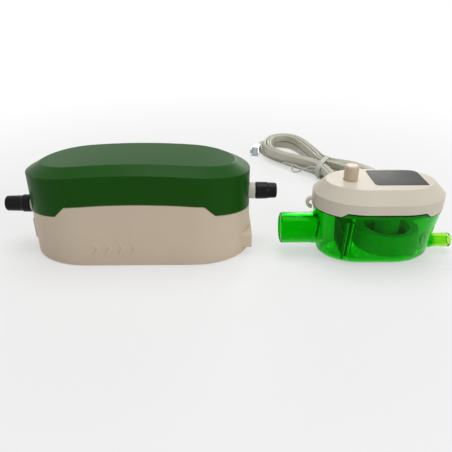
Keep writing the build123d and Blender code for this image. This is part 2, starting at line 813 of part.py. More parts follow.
# ================================================================ detection unit: lid
tray_bottom = 35.0
tray_thickness = 1.4
tab_half_width = 4.0
slit_width = 0.7
loop_radius = 3.3
loop_hole = 1.7
loop_x = tank_left - 0.1
loop_z = 30.0
gland_width = 8.4
gland_height = 4.0
gland_out = 3.0


def lid_block(inset, side, top):
    """Closed form of the lid: an oval prism whose top edge has a broad bevel."""
    with BuildPart() as block:
        add(prism(tank_outline, inset, tongue_bottom - 1, top))
        roof = block.faces().sort_by(Axis.Z)[-1]
        chamfer(roof.edges(), length=lid_bevel_width, length2=top - side, reference=roof)
    return block.part


lid_tongue = prism(tank_outline, tongue_inset, tongue_bottom, lid_side_height + 2)
lid_tongue = lid_tongue - prism(tank_outline, tongue_inset + tongue_wall, 0, lid_top_height)
lid_hollow = lid_block(lid_wall, lid_side_height - lid_wall / 2, lid_top_height - lid_wall)

with BuildPart() as latch_loop:
    with BuildSketch(Plane.XZ.offset(-tank_y)):
        with Locations((loop_x, loop_z)):
            Circle(loop_radius)
            Circle(loop_hole, mode=Mode.SUBTRACT)
    extrude(amount=1.5, both=True)
    fillet(latch_loop.edges().filter_by(GeomType.CIRCLE), 0.6)
    add(block_at((tank_left + lid_wall / 2, tank_y - 5, 0), (tank_x, tank_y + 5, lid_top_height)),
        mode=Mode.SUBTRACT)
    add(block_at((tank_left - 0.1, tank_y - 5, 0), (tank_x, tank_y + 5, tank_seam_low)),
        mode=Mode.SUBTRACT)

with BuildPart() as reservoir_lid:
    add(lid_block(0, lid_side_height, lid_top_height))
    roof = reservoir_lid.faces().sort_by(Axis.Z)[-1]
    fillet(roof.edges(), 0.9)
    add(lid_hollow, mode=Mode.SUBTRACT)
    add(below_tank_seam(0), mode=Mode.SUBTRACT)
    for k in (-1, 1):
        add(block_at((tank_left - 1, tank_y + k * tab_half_width - slit_width / 2, 0),
                     (tank_left + lid_wall + 0.4, tank_y + k * tab_half_width + slit_width / 2, 35.0)),
            mode=Mode.SUBTRACT)
    add(latch_loop.part)
    add(lid_tongue)
    with BuildSketch(Plane.XY.offset(lid_top_height - lid_wall)):
        with Locations((vent_x, vent_y)):
            Circle(vent_radius)
    extrude(amount=lid_wall + 5.2)
    with BuildSketch(Plane.XY.offset(lid_top_height - lid_wall - 1)):
        with Locations((vent_x, vent_y)):
            Circle(1.2)
    extrude(amount=10, mode=Mode.SUBTRACT)
    add(block_at(
        (lead_exit_x - gland_width / 2 - slip_gap, lid_rear - 6, lead_exit_height - gland_height / 2 - slip_gap),
        (lead_exit_x + gland_width / 2 + slip_gap, lid_rear + 1, lead_exit_height + gland_height / 2 + slip_gap),
    ), mode=Mode.SUBTRACT)
reservoir_lid.part.label = "reservoir_lid"

lid_seal_form = prism(tank_outline, 0.15, 0, lid_side_height) - prism(
    tank_outline, tongue_inset - 0.05, -1, lid_side_height + 1
)
with BuildPart() as lid_seal:
    add(lid_seal_form)
    add(below_tank_seam(0), mode=Mode.INTERSECT)
    add(below_tank_seam(-seal_height), mode=Mode.SUBTRACT)
lid_seal.part.label = "lid_seal"

with BuildPart() as sensor_housing:
    add(prism(tank_outline, tongue_inset + tongue_wall + slip_gap, tray_bottom,
              tray_bottom + tray_thickness))
    with BuildSketch(Plane.XY.offset(column_bottom)):
        with Locations(float_centre):
            Circle(column_radius)
    extrude(amount=tray_bottom - column_bottom)
    fillet(sensor_housing.edges().group_by(Axis.Z)[0], 1.2)
    with BuildSketch(Plane.XY.offset(column_bottom + 1.4)):
        with Locations(float_centre):
            Circle(column_radius - 1.4)
    extrude(amount=tray_bottom, mode=Mode.SUBTRACT)
    with BuildSketch(Plane.XY.offset(tray_bottom - 1)):
        with Locations((vent_x, vent_y)):
            Circle(1.4)
    extrude(amount=tray_thickness + 2, mode=Mode.SUBTRACT)
    add(block_at((lead_exit_x - gland_width / 2 - 0.2, lid_rear - 6.5, tray_bottom - 1),
                 (lead_exit_x + gland_width / 2 + 0.2, lid_rear + 1, tray_bottom + 3)),
        mode=Mode.SUBTRACT)
sensor_housing.part.label = "sensor_housing"

with BuildPart() as sensor_board:
    add(block_at((float_x - 3.8, tank_y - 0.8, column_bottom + 2), (float_x + 3.8, tank_y + 0.8, 38.5)))
    for height in (11.0, 20.0, 29.0):
        add(block_at((float_x - 2, tank_y - 2.0, height), (float_x + 2, tank_y - 0.8, height + 3)))
sensor_board.part.label = "sensor_board"

with BuildPart() as lead_gland:
    add(block_at((lead_exit_x - gland_width / 2, lid_rear - 4.2, lead_exit_height - gland_height / 2),
                 (lead_exit_x + gland_width / 2, lid_rear + gland_out, lead_exit_height + gland_height / 2)))
    fillet(lead_gland.faces().sort_by(Axis.Y)[-1].edges(), 0.8)
lead_gland.part.label = "lead_gland"

with BuildPart() as vent_cap:
    with BuildSketch(Plane.XY.offset(lid_top_height + 0.25)):
        with Locations((vent_x, vent_y)):
            Circle(vent_cap_radius)
    extrude(amount=vent_cap_top - lid_top_height - 0.25)
    fillet(vent_cap.edges().group_by(Axis.Z)[-1], 1.1)
    with BuildSketch(Plane.XY.offset(lid_top_height)):
        with Locations((vent_x, vent_y)):
            Circle(vent_radius + cap_gap)
    extrude(amount=5.6, mode=Mode.SUBTRACT)
vent_cap.part.label = "vent_cap"

# ================================================================ sensor lead
lead_start = (lead_exit_x, lid_rear + gland_out, lead_exit_height)
lead_route = [
    lead_start,
    (lead_exit_x, 24.0, lead_exit_height),
    (140.5, 33.0, 26.0),
    (143.5, 40.0, 13.0),
    (149.0, 49.0, 4.0),
    (157.0, 61.0, 2.75),
    (163.5, 77.0, 2.75),
    (162.5, 95.0, 2.75),
    (152.0, 109.5, 3.0),
    (138.0, 116.0, 4.4),
    (121.5, 115.5, 6.0),
]


def route_radii(points):
    """Arc radius at each inner point: 0.45 of the shorter run over tan of half the turn."""
    radii = []
    for before, here, after in zip(points, points[1:], points[2:]):
        run_in = Vector(*here) - Vector(*before)
        run_out = Vector(*after) - Vector(*here)
        turn = radians(run_in.get_angle(run_out))
        radii.append(0.45 * min(run_in.length, run_out.length) / tan(turn / 2))
    return radii


lead_radii = route_radii(lead_route)
with BuildPart() as sensor_lead:
    with BuildLine():
        lead_path = FilletPolyline(*lead_route, radius=lead_radii)
    with BuildSketch(Plane(lead_path @ 0, z_dir=lead_path % 0)):
        Circle(lead_width / 2)
    sweep(path=lead_path)
sensor_lead.part.label = "sensor_lead"
lead_run = lead_path.length
section_volume = pi * (lead_width / 2) ** 2 * lead_run
print("lead radii", [round(r, 1) for r in lead_radii])
print(f"lead run {lead_run:.1f}, volume {sensor_lead.part.volume:.0f} of {section_volume:.0f}")

with BuildPart() as lead_hank:
    for near, far in ((hank_loop, hank_waist), (hank_waist, hank_tail)):
        with BuildSketch(Plane.XY.offset(hank_bottom)):
            with BuildLine() as rims:
                for x, y, radius in (near, far):
                    CenterArc((x, y), radius, 0, 360)
            make_hull(rims.edges())
        extrude(amount=hank_top - hank_bottom)
lead_hank.part.label = "lead_hank"

tie_wire = 0.45
tie_width = 3.0
tie_gap = 0.7
hank_run = Vector(hank_tail[0] - hank_waist[0], hank_tail[1] - hank_waist[1], 0)
hank_middle = (hank_bottom + hank_top) / 2
tie_plane = Plane((hank_waist[0], hank_waist[1], hank_middle), x_dir=(0, 0, 1), z_dir=hank_run)
tie_inner = (hank_top - hank_bottom + 0.1, 2 * hank_waist[2] + 2 * tie_gap)
with BuildPart() as twist_tie:
    with BuildSketch(tie_plane.offset(-tie_width / 2)):
        RectangleRounded(tie_inner[0] + 2 * tie_wire, tie_inner[1] + 2 * tie_wire, 0.8)
        Rectangle(*tie_inner, mode=Mode.SUBTRACT)
    extrude(amount=tie_width)
twist_tie.part.label = "twist_tie"

plug_size = (12.0, 7.6, 5.4)
plug_angle = -48.0
plug_place = Plane((69.0, 149.5, 0.1)).rotated((0, 0, plug_angle))
with BuildPart() as sensor_plug:
    with BuildSketch(plug_place):
        RectangleRounded(plug_size[0], plug_size[1], 0.6)
    extrude(amount=plug_size[2])
    with BuildSketch(plug_place.offset(plug_size[2])):
        with Locations((-1.0, 0)):
            Rectangle(9.0, 3.0)
    extrude(amount=1.1)
sensor_plug.part.label = "sensor_plug"

for node in (
    pump_base_casing, pump_top_cover, cover_screws, outlet_chamber, inlet_fitting, inlet_grommet,
    outlet_grommet, outlet_cap, inlet_cap, piston_tube, solenoid_bobbin, solenoid_coil,
    solenoid_yoke, valve_head, head_seal, piston, suction_valve, piston_spring, discharge_poppet,
    poppet_spring, damper_pads, control_board, board_components, power_socket, socket_pins,
    sensor_jack, reservoir_cup, inlet_strainer, float_ring, float_rim, float_magnet, reservoir_lid, lid_seal,
    sensor_housing, sensor_board, lead_gland, vent_cap, sensor_lead, lead_hank, twist_tie,
    sensor_plug,
):
    export_step(node.part, f"parts/{node.part.label}.step")
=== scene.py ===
"""Dresses the condensate pump: two-shell pump unit, clear float reservoir and tied sensor lead.

Lengths are in metres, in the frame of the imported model: origin under the pump unit's centre,
+X towards its outlet, +Z up, front towards -Y.
"""

import logging
import math
from dataclasses import dataclass, field
from enum import Enum
from typing import Optional, Sequence, Union

import bmesh
import bpy
from mathutils import Matrix, Vector


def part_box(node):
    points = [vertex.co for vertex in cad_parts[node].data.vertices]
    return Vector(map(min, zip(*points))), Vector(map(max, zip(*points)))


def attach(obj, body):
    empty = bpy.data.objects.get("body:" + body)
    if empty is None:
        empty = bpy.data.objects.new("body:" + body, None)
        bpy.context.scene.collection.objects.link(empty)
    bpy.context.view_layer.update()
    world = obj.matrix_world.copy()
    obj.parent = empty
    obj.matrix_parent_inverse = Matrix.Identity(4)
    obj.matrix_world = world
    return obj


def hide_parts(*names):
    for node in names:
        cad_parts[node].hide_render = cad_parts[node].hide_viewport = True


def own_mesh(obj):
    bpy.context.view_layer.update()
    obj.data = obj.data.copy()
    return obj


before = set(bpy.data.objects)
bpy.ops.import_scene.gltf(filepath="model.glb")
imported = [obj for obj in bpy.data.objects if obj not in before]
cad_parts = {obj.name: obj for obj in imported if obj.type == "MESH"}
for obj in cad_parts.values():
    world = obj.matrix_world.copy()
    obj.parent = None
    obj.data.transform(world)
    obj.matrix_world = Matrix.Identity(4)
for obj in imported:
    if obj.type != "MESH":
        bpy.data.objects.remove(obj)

logging.basicConfig(level=logging.INFO, format="%(message)s")
log = logging.getLogger("condensate_pump")

MM = 0.001
Colour = tuple[float, float, float]
Point = tuple[float, float, float]
Flat = tuple[float, float]
Block = tuple[Point, Point, float]


# ------------------------------------------------------------------ shader graph helpers
class Channel:
    """An output socket whose Python operators add Math nodes."""

    def __init__(self, graph: "Graph", socket: bpy.types.NodeSocket) -> None:
        """Wrap an output socket of a graph."""
        self.graph = graph
        self.socket = socket

    def _math(self, operation: str, *operands: Union["Channel", float]) -> "Channel":
        """Add a Math node fed by the operands."""
        inputs = dict(enumerate(operands))
        return self.graph.node("ShaderNodeMath", {"operation": operation}, inputs)

    def __add__(self, other: Union["Channel", float]) -> "Channel":
        """Sum."""
        return self._math("ADD", self, other)

    def __radd__(self, other: float) -> "Channel":
        """Reflected sum."""
        return self._math("ADD", other, self)

    def __sub__(self, other: Union["Channel", float]) -> "Channel":
        """Difference."""
        return self._math("SUBTRACT", self, other)

    def __rsub__(self, other: float) -> "Channel":
        """Reflected difference."""
        return self._math("SUBTRACT", other, self)

    def __mul__(self, other: Union["Channel", float]) -> "Channel":
        """Product."""
        return self._math("MULTIPLY", self, other)

    def __rmul__(self, other: float) -> "Channel":
        """Reflected product."""
        return self._math("MULTIPLY", other, self)

    def larger(self, other: Union["Channel", float]) -> "Channel":
        """The larger of two values."""
        return self._math("MAXIMUM", self, other)

    def clamped(self) -> "Channel":
        """The value held between 0 and 1."""
        return self._math("MINIMUM", self.larger(0.0), 1.0)


class Graph:
    """Shader graph of a material or of the world."""

    def __init__(self, owner: Union[bpy.types.Material, bpy.types.World], output: str) -> None:
        """Empty the owner's node tree and give it an output.

        Args:
            owner: what the graph belongs to.
            output: the output node's type name.
        """
        owner.use_nodes = True
        self.owner = owner
        self.tree = owner.node_tree
        self.tree.nodes.clear()
        self.output = self.tree.nodes.new(output)

    @classmethod
    def material(cls, name: str) -> "Graph":
        """Start a new material's graph."""
        return cls(bpy.data.materials.new(name), "ShaderNodeOutputMaterial")

    def plug(self, target: bpy.types.NodeSocket, value: object) -> None:
        """Link or set one input socket."""
        if isinstance(value, Channel):
            self.tree.links.new(value.socket, target)
        elif isinstance(value, tuple) and len(value) == 3 and target.type == "RGBA":
            target.default_value = (*value, 1.0)
        else:
            target.default_value = value

    def node(
        self,
        kind: str,
        settings: Optional[dict[str, object]] = None,
        inputs: Optional[dict[object, object]] = None,
        output: object = 0,
    ) -> Channel:
        """Add any node: settings first, then its sockets.

        Args:
            kind: the node's type name.
            settings: attributes of the node, or "stops" for a colour ramp.
            inputs: socket name or number to value or Channel.
            output: name or number of the output wanted.

        Returns:
            The chosen output as a Channel.
        """
        node = self.tree.nodes.new(kind)
        for key, value in (settings or {}).items():
            if key == "stops":
                ramp = node.color_ramp
                while len(ramp.elements) < len(value):
                    ramp.elements.new(0.5)
                for element, (position, colour) in zip(ramp.elements, value):
                    element.position = position
                    element.color = (*colour, 1.0)
            else:
                setattr(node, key, value)
        for key, value in (inputs or {}).items():
            self.plug(node.inputs[key], value)
        return Channel(self, node.outputs[output])

    def noise(self, scale: float, detail: float = 3.0, roughness: float = 0.5) -> Channel:
        """Noise over the object's own coordinates, in cycles per metre."""
        place = self.node("ShaderNodeTexCoord", output="Object")
        return self.node(
            "ShaderNodeTexNoise", {"noise_dimensions": "3D"},
            {"Vector": place, "Scale": scale, "Detail": detail, "Roughness": roughness}, "Fac",
        )

    def blend(self, factor: object, first: object, second: object) -> Channel:
        """Mix two colours; inputs 6 and 7 and output 2 are the Mix node's colour sockets."""
        inputs = {0: factor, 6: first, 7: second}
        return self.node("ShaderNodeMix", {"data_type": "RGBA"}, inputs, 2)

    def bump(self, height: Channel, strength: float, distance: float) -> Channel:
        """Bump from a height."""
        return self.node(
            "ShaderNodeBump", {}, {"Height": height, "Strength": strength, "Distance": distance},
            "Normal",
        )

    def principled(self, **sockets: object) -> Channel:
        """Add a Principled shader; underscores in its sockets' names stand for spaces."""
        inputs = {key.replace("_", " "): value for key, value in sockets.items()}
        return self.node("ShaderNodeBsdfPrincipled", {}, inputs, "BSDF")

    def surface(self, shader: Channel) -> None:
        """Feed a shader to the output."""
        self.plug(self.output.inputs["Surface"], shader)

    def painted(self, **sockets: object) -> bpy.types.Material:
        """Close the graph with a Principled shader and return its material."""
        self.surface(self.principled(**sockets))
        return self.owner


def linear(red: float, green: float, blue: float) -> Colour:
    """Turn a display colour from 0 to 255 into a linear one."""
    def one(value: float) -> float:
        """One component."""
        unit = value / 255
        return unit / 12.92 if unit <= 0.04045 else ((unit + 0.055) / 1.055) ** 2.4

    return (one(red), one(green), one(blue))


# ------------------------------------------------------------------ finishes
@dataclass(frozen=True)
class MouldedPlastic:
    """Injection-moulded plastic with spark-eroded grain and faint mottling."""

    name: str
    colour: Colour
    roughness: float = 0.42
    grain_depth: float = 0.00002
    grain_scale: float = 2600.0
    mottle: float = 0.10
    gloss: float = 0.35
    mottle_scale: float = 38.0

    def build(self) -> bpy.types.Material:
        """Make the material."""
        g = Graph.material(self.name)
        broad = g.noise(self.mottle_scale, 4.0, 0.55)
        fine = g.noise(self.grain_scale, 2.0, 0.6)
        shade = tuple(c * (1 - self.mottle) for c in self.colour)
        light = tuple(min(1.0, c * (1 + self.mottle)) for c in self.colour)
        return g.painted(
            Base_Color=g.blend(broad, shade, light),
            Roughness=(broad * 0.12 + fine * 0.06 + (self.roughness - 0.09)).clamped(),
            Normal=g.bump(fine, 0.6, self.grain_depth),
            Specular_IOR_Level=self.gloss,
        )


@dataclass(frozen=True)
class ClearTint:
    """Clear tinted plastic, such as a see-through cup."""

    name: str
    colour: Colour
    roughness: float = 0.03
    ior: float = 1.49
    ripple: float = 0.00016
    glint: Colour = (1.0, 1.0, 1.0)
    thin: Optional[Colour] = None
    thin_from: float = 158.6 * MM
    thin_over: float = 3.0 * MM
    wave_scale: float = 60.0
    depth: float = 0.88

    def build(self) -> bpy.types.Material:
        """Make the material; a thin-walled end beyond thin_from along X is paler."""
        g = Graph.material(self.name)
        broad = g.noise(self.wave_scale, 2.0, 0.5)
        deep = tuple(c * self.depth for c in self.colour)
        body = g.blend(broad, deep, self.colour)
        if self.thin:
            place = g.node("ShaderNodeTexCoord", output="Object")
            along = g.node("ShaderNodeSeparateXYZ", {}, {0: place}, "X")
            share = ((along - self.thin_from) * (1 / self.thin_over)).clamped()
            body = g.blend(share, body, self.thin)
        return g.painted(
            Base_Color=body,
            Roughness=(broad * 0.03 + self.roughness).clamped(),
            IOR=self.ior,
            Specular_Tint=self.glint,
            Transmission_Weight=1.0,
            Normal=g.bump(broad, 0.35, self.ripple),
        )


@dataclass(frozen=True)
class SoftRubber:
    """Dark or pale elastomer with a slight bloom."""

    name: str
    colour: Colour
    roughness: float = 0.5
    bloom: float = 0.25
    gloss: float = 0.12
    dust_scale: float = 160.0
    grain_depth: float = 0.00002
    grain_scale: float = 1800.0
    bloomed: float = 0.10

    def build(self) -> bpy.types.Material:
        """Make the material."""
        g = Graph.material(self.name)
        dust = g.noise(self.dust_scale, 5.0, 0.6)
        pale = tuple(
            c + (self.bloomed - c) * self.bloom if c < self.bloomed else c * 1.05
            for c in self.colour
        )
        return g.painted(
            Base_Color=g.blend(dust, self.colour, pale),
            Roughness=(dust * 0.15 + (self.roughness - 0.07)).clamped(),
            Specular_IOR_Level=self.gloss,
            Normal=g.bump(g.noise(self.grain_scale, 2.0), 0.4, self.grain_depth),
        )


@dataclass(frozen=True)
class Metal:
    """Turned, drawn or plated metal."""

    name: str
    colour: Colour
    roughness: float = 0.3
    streak_scale: float = 420.0
    streak_depth: float = 0.00002

    def build(self) -> bpy.types.Material:
        """Make the material."""
        g = Graph.material(self.name)
        streak = g.noise(self.streak_scale, 4.0, 0.6)
        shade = tuple(c * 0.8 for c in self.colour)
        return g.painted(
            Base_Color=g.blend(streak, shade, self.colour),
            Metallic=1.0,
            Roughness=(streak * 0.18 + (self.roughness - 0.08)).clamped(),
            Normal=g.bump(streak, 0.3, self.streak_depth),
        )


@dataclass(frozen=True)
class PlateInk:
    """Satin printed film of a bare plate, slightly worn at random."""

    name: str
    colour: Colour
    worn: Colour
    wear_scale: float = 240.0
    shade_scale: float = 50.0
    grain_scale: float = 1500.0
    grain_depth: float = 0.00001
    wear_from: float = 0.55
    wear_full: float = 0.75

    def build(self) -> bpy.types.Material:
        """Make the material."""
        g = Graph.material(self.name)
        wear = g.noise(self.wear_scale, 6.0, 0.7)
        broad = g.noise(self.shade_scale, 2.0)
        stops = [(self.wear_from, (0, 0, 0)), (self.wear_full, (1, 1, 1))]
        ramp = g.node("ShaderNodeValToRGB", {"stops": stops}, {"Fac": wear}, "Color")
        base = g.blend(broad, tuple(c * 0.85 for c in self.colour), self.colour)
        return g.painted(
            Base_Color=g.blend(ramp, base, self.worn),
            Roughness=(broad * 0.15 + 0.32).clamped(),
            Specular_IOR_Level=0.08,
            Normal=g.bump(g.noise(self.grain_scale), 0.3, self.grain_depth),
        )


class Finish(Enum):
    """The finishes that the pieces are given."""

    CASING = MouldedPlastic("casing_white", linear(224, 206, 184), 0.46, mottle=0.04, gloss=0.2)
    COVER = MouldedPlastic("cover_green", linear(26, 82, 14), 0.32, mottle=0.12, gloss=0.07)
    PORT = MouldedPlastic("port_white", linear(214, 212, 198), 0.35)
    LID = MouldedPlastic("lid_white", linear(226, 217, 200), 0.40, mottle=0.04, gloss=0.12)
    SENSOR = MouldedPlastic("sensor_white", linear(232, 226, 208), 0.45)
    STRAINER = MouldedPlastic("strainer_mesh", linear(70, 96, 62), 0.5)
    FLOAT = MouldedPlastic("float_foam", linear(240, 242, 232), 0.6, 0.00008, 1500.0)
    LEAD = MouldedPlastic("lead_cream", linear(200, 198, 182), 0.38, mottle=0.05)
    TIE = MouldedPlastic("tie_white", linear(204, 206, 196), 0.45)
    BLACK = MouldedPlastic("bobbin_black", linear(34, 35, 37), 0.45)
    BOARD = MouldedPlastic("board_green", linear(40, 92, 58), 0.35)
    SOCKET = MouldedPlastic("socket_white", linear(214, 200, 180), 0.45)
    JACK = MouldedPlastic("socket_black", linear(44, 45, 47), 0.4)
    CAP = SoftRubber("cap_black", linear(12, 13, 15), 0.24, 0.0, 0.15)
    RUBBER = SoftRubber("rubber_black", linear(20, 20, 21), 0.6)
    VENT = SoftRubber("vent_cream", linear(216, 198, 174), 0.38, 0.0, 0.3)
    TANK = ClearTint(
        "tank_green", (0.004, 0.66, 0.003), glint=(0.04, 0.55, 0.03), thin=(0.42, 0.86, 0.10)
    )
    PLUG = ClearTint("plug_clear", (0.44, 0.50, 0.53), 0.05)
    STEEL = Metal("turned_steel", (0.56, 0.56, 0.57), 0.28)
    SPRING = Metal("spring_wire", (0.46, 0.46, 0.47), 0.34)
    YOKE = Metal("zinc_plate", (0.44, 0.45, 0.46), 0.38)
    COPPER = Metal("winding_wire", (0.62, 0.28, 0.12), 0.32)
    CONTACT = Metal("contact_gold", (0.80, 0.60, 0.26), 0.25)
    MAGNET = Metal("ferrite", (0.045, 0.045, 0.05), 0.5)
    PLATE = PlateInk("plate_grey", linear(60, 59, 57), linear(92, 90, 86))


_built: dict[Finish, bpy.types.Material] = {}


def finish_of(kind: Finish) -> bpy.types.Material:
    """The material of a finish, made once."""
    if kind not in _built:
        _built[kind] = kind.value.build()
    return _built[kind]


def dress(obj: bpy.types.Object, kind: Finish) -> None:
    """Give a whole object one finish."""
    obj.data.materials.clear()
    obj.data.materials.append(finish_of(kind))


def mesh_object(
    name: str, mesh: bpy.types.Mesh, kind: Finish, smooth: bool = True
) -> bpy.types.Object:
    """Link a mesh as a finished piece."""
    obj = bpy.data.objects.new(name, mesh)
    bpy.context.scene.collection.objects.link(obj)
    dress(obj, kind)
    for polygon in mesh.polygons:
        polygon.use_smooth = smooth
    return obj


def skin(
    bm: bmesh.types.BMesh, rings: Sequence[list[bmesh.types.BMVert]], caps: bool = True
) -> None:
    """Join rings of vertices with quads, and close both ends.

    Args:
        bm: the mesh that grows.
        rings: closed rings with the same number of vertices.
        caps: whether each end gets one face.
    """
    for low, high in zip(rings, rings[1:]):
        for k in range(len(low)):
            n = (k + 1) % len(low)
            bm.faces.new((low[k], low[n], high[n], high[k]))
    if caps:
        bm.faces.new(rings[0][::-1])
        bm.faces.new(rings[-1])


def piece_from_bmesh(
    name: str, bm: bmesh.types.BMesh, kind: Finish, smooth: bool = True
) -> bpy.types.Object:
    """Turn a bmesh into a finished piece with its faces pointing outwards."""
    bmesh.ops.recalc_face_normals(bm, faces=bm.faces)
    mesh = bpy.data.meshes.new(name)
    bm.to_mesh(mesh)
    bm.free()
    return mesh_object(name, mesh, kind, smooth)


def rounded_outline(
    width: float, height: float, radii: Sequence[float], steps: int = 5
) -> list[Flat]:
    """Outline of a rectangle about the origin with its own radius at each corner.

    Args:
        width: size along x.
        height: size along y.
        radii: corner radii, counter-clockwise from the +x +y corner.
        steps: pieces in each corner.

    Returns:
        The points, counter-clockwise.
    """
    points = []
    signs = ((1, 1), (-1, 1), (-1, -1), (1, -1))
    for corner, ((sx, sy), radius) in enumerate(zip(signs, radii)):
        cx, cy = sx * (width / 2 - radius), sy * (height / 2 - radius)
        for k in range(steps + 1):
            angle = math.radians(90 * corner + 90 * k / steps)
            points.append((cx + radius * math.cos(angle), cy + radius * math.sin(angle)))
    return points


# ------------------------------------------------------------------ geometry-node helpers
class GeometryTool:
    """Geometry Nodes tree with inputs of its own, run on an object and applied."""

    def __init__(self, name: str, inputs: dict[str, str]) -> None:
        """Start the tree.

        Args:
            name: the tree's name.
            inputs: each input's name and kind of socket, after the geometry.
        """
        self.tree = bpy.data.node_groups.new(name, "GeometryNodeTree")
        face = self.tree.interface
        for label, kind in (("Geometry", "Geometry"), *inputs.items()):
            face.new_socket(label, in_out="INPUT", socket_type=f"NodeSocket{kind}")
        face.new_socket("Geometry", in_out="OUTPUT", socket_type="NodeSocketGeometry")
        self.given = self.tree.nodes.new("NodeGroupInput").outputs

    def node(
        self, kind: str, inputs: dict[str, object], output: str = "Geometry", **settings: object
    ) -> bpy.types.NodeSocket:
        """Add a node: settings first, then its sockets.

        Args:
            kind: the node's type name.
            inputs: socket name to value or to the socket that feeds it.
            output: name of the output wanted.
            settings: attributes of the node.

        Returns:
            The chosen output.
        """
        node = self.tree.nodes.new(kind)
        for key, value in settings.items():
            setattr(node, key, value)
        for key, value in inputs.items():
            if isinstance(value, bpy.types.NodeSocket):
                self.tree.links.new(value, node.inputs[key])
            else:
                node.inputs[key].default_value = value
        return node.outputs[output]

    def close(self, geometry: bpy.types.NodeSocket, material: bpy.types.Material) -> None:
        """Make a geometry real, paint it and give it out."""
        real = self.node("GeometryNodeRealizeInstances", {"Geometry": geometry})
        painted = self.node("GeometryNodeSetMaterial", {"Geometry": real, "Material": material})
        target = self.tree.nodes.new("NodeGroupOutput")
        self.tree.links.new(painted, target.inputs["Geometry"])

    def run(self, seed: bpy.types.Object, values: dict[str, object]) -> bpy.types.Mesh:
        """Apply the tree to a seed object.

        Args:
            seed: the object that it starts from; it is removed.
            values: each input's value.

        Returns:
            The result as a plain mesh.
        """
        modifier = seed.modifiers.new("tool", "NODES")
        modifier.node_group = self.tree
        for item in self.tree.interface.items_tree:
            if item.in_out == "INPUT" and item.name in values:
                modifier[item.identifier] = values[item.name]
        bpy.context.view_layer.update()
        graph = bpy.context.evaluated_depsgraph_get()
        mesh = bpy.data.meshes.new_from_object(seed.evaluated_get(graph), depsgraph=graph)
        seed.modifiers.remove(modifier)
        bpy.data.objects.remove(seed)
        return mesh


class RowTool(GeometryTool):
    """Lays copies of the seed along a line: Count of them, from Start, each a Step further."""

    def __init__(self, name: str, material: bpy.types.Material) -> None:
        """Build the tree.

        Args:
            name: the tree's name.
            material: the copies' material.
        """
        super().__init__(name, {"Count": "Int", "Start": "Vector", "Step": "Vector"})
        line = self.node(
            "GeometryNodeMeshLine",
            {
                "Count": self.given["Count"], "Start Location": self.given["Start"],
                "Offset": self.given["Step"],
            },
            "Mesh", mode="OFFSET",
        )
        row = self.node(
            "GeometryNodeInstanceOnPoints", {"Points": line, "Instance": self.given["Geometry"]},
            "Instances",
        )
        self.close(row, material)


class SpringTool(GeometryTool):
    """Winds a wire into a coil spring along +Z, by its Turns, Radius, Height and Wire radius."""

    points_per_turn: int = 28
    sides: int = 10

    def __init__(self, name: str, material: bpy.types.Material) -> None:
        """Build the tree.

        Args:
            name: the tree's name.
            material: the wire's material.
        """
        super().__init__(name, dict.fromkeys(("Turns", "Radius", "Height", "Wire"), "Float"))
        coil = self.node(
            "GeometryNodeCurveSpiral",
            {
                "Resolution": self.points_per_turn, "Rotations": self.given["Turns"],
                "Start Radius": self.given["Radius"], "End Radius": self.given["Radius"],
                "Height": self.given["Height"],
            },
            "Curve",
        )
        section = self.node(
            "GeometryNodeCurvePrimitiveCircle",
            {"Resolution": self.sides, "Radius": self.given["Wire"]}, "Curve",
        )
        wire = self.node(
            "GeometryNodeCurveToMesh",
            {"Curve": coil, "Profile Curve": section, "Fill Caps": True}, "Mesh",
        )
        self.close(wire, material)


# ------------------------------------------------------------------ pump unit
@dataclass(frozen=True)
class CoilSpring:
    """A coil spring along X, in place of the plain solid.

    Its travel and fixed_low are not used.
    """

    node: str
    joint: str
    turns: float
    wire: float
    travel: float
    fixed_low: bool

    def build(self, tool: SpringTool, body: str) -> None:
        """Wind the spring where its solid lies.

        Args:
            tool: what winds it.
            body: the body that holds its fixed end.
        """
        name = f"{self.node}_wire"
        low, high = (Vector(corner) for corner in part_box(self.node))
        centre = (low + high) / 2
        length = high.x - low.x
        seed = bpy.data.objects.new(name, bpy.data.meshes.new(name))
        bpy.context.scene.collection.objects.link(seed)
        mesh = tool.run(seed, {
            "Turns": self.turns, "Radius": (high.y - low.y) / 2 - self.wire,
            "Height": length - 2 * self.wire, "Wire": self.wire,
        })
        start = Matrix.Translation((low.x + self.wire, centre.y, centre.z))
        bm = bmesh.new()
        bm.from_mesh(mesh)
        bm.transform(start @ Matrix.Rotation(math.pi / 2, 4, "Y"))
        piece = piece_from_bmesh(name, bm, Finish.SPRING)
        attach(piece, body)
        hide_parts(self.node)
        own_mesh(piece)
        log.info("built %s", name)


